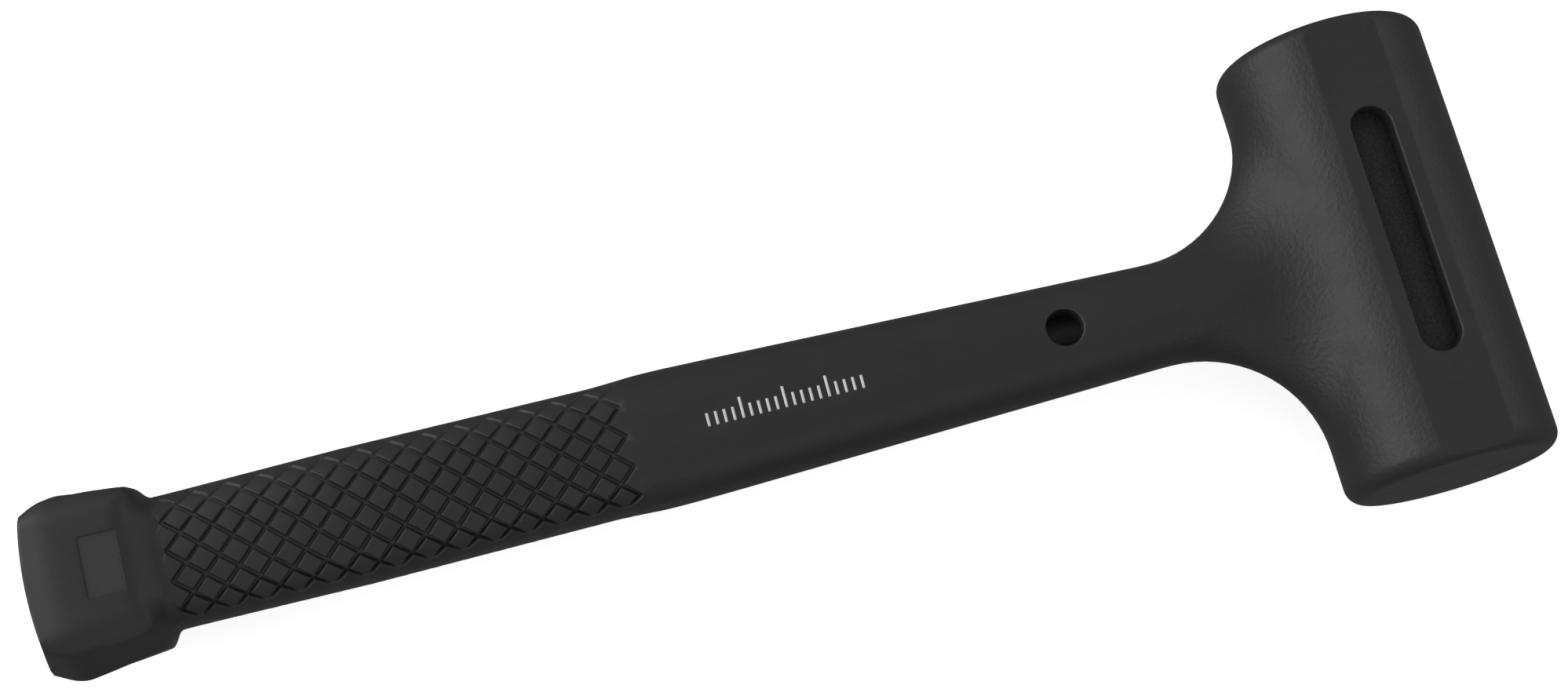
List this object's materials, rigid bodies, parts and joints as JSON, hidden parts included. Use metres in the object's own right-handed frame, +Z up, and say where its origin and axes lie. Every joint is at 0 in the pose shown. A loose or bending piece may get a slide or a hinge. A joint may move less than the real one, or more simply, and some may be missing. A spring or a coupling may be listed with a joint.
{
  "type": "dead blow mallet",
  "caption": "One-piece moulded dead blow mallet: round flat-sided head over a steel shot canister, slim neck, ribbed grip and flared square butt.",
  "frame": {"origin": "bottom centre of the mallet as it lies on the side of its head: the middle of its outline, on the resting plane", "axes": "+X along the handle from the butt towards the head, +Y along the head's axis from the rear to the front striking face, +Z up, square to the head's flat sides"},
  "size_m": [0.345, 0.1074, 0.047],
  "materials": {
    "polyurethane": "satin",
    "blackened_steel": "satin",
    "bare_steel": "satin",
    "weld_steel": "matte",
    "shot_steel": "gloss"
  },
  "bodies": {
    "mallet": {"polyurethane_jacket": "polyurethane", "canister_tube": "blackened_steel", "front_end_cap": "bare_steel", "rear_end_cap": "bare_steel", "front_cap_weld": "weld_steel", "rear_cap_weld": "weld_steel", "handle_core_rod": "bare_steel", "rod_weld_bead": "weld_steel"},
    "shot": {"steel_shot_charge": "shot_steel"}
  },
  "joints": [
    {"name": "shot_slide", "type": "slide", "parent": "mallet", "child": "shot", "axis": [0, 1, 0], "range_m": [0, 0.0244]}
  ]
}
